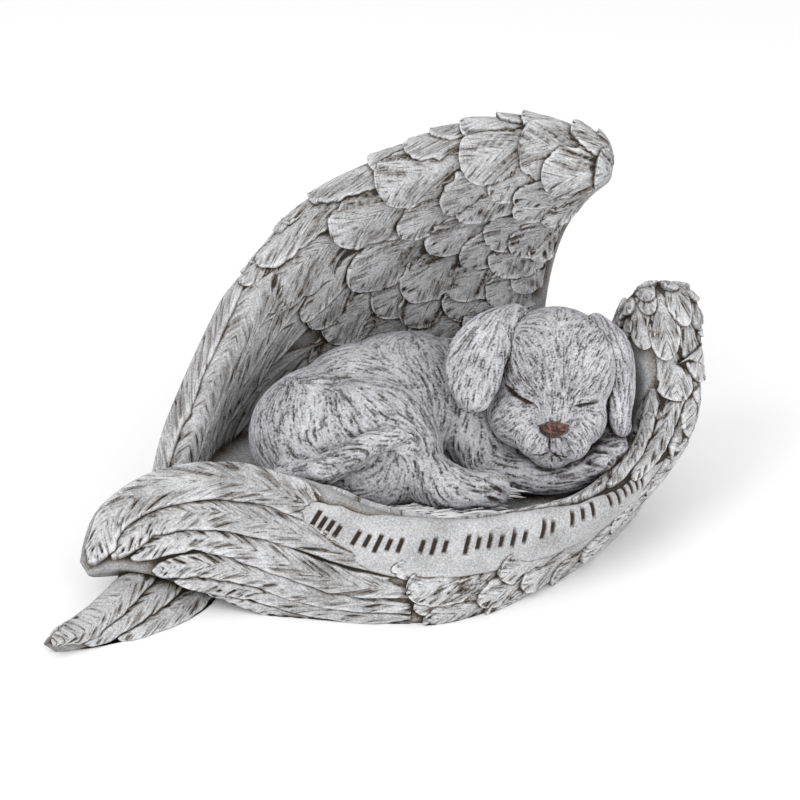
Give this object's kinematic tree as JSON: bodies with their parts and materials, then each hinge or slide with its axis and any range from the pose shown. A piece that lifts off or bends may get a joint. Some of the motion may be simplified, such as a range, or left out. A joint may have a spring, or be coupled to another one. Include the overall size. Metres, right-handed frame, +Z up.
{
  "type": "pet memorial stone",
  "caption": "Cast-stone memorial figurine of a puppy asleep in the cradle of two feathered wings, with a row of shallow strokes on the band along the low front wing and a flat underside",
  "frame": {"origin": "on the flat underside, below the middle of the nest", "axes": "+X to the viewer's right along the low wing, +Y from the low front wing to the tall back wing, +Z up"},
  "size_m": [0.2197, 0.1422, 0.1402],
  "materials": {
    "cast_stone": "matte"
  },
  "bodies": {
    "root": {"sleeping_puppy_in_wings": "cast_stone"}
  },
  "joints": []
}
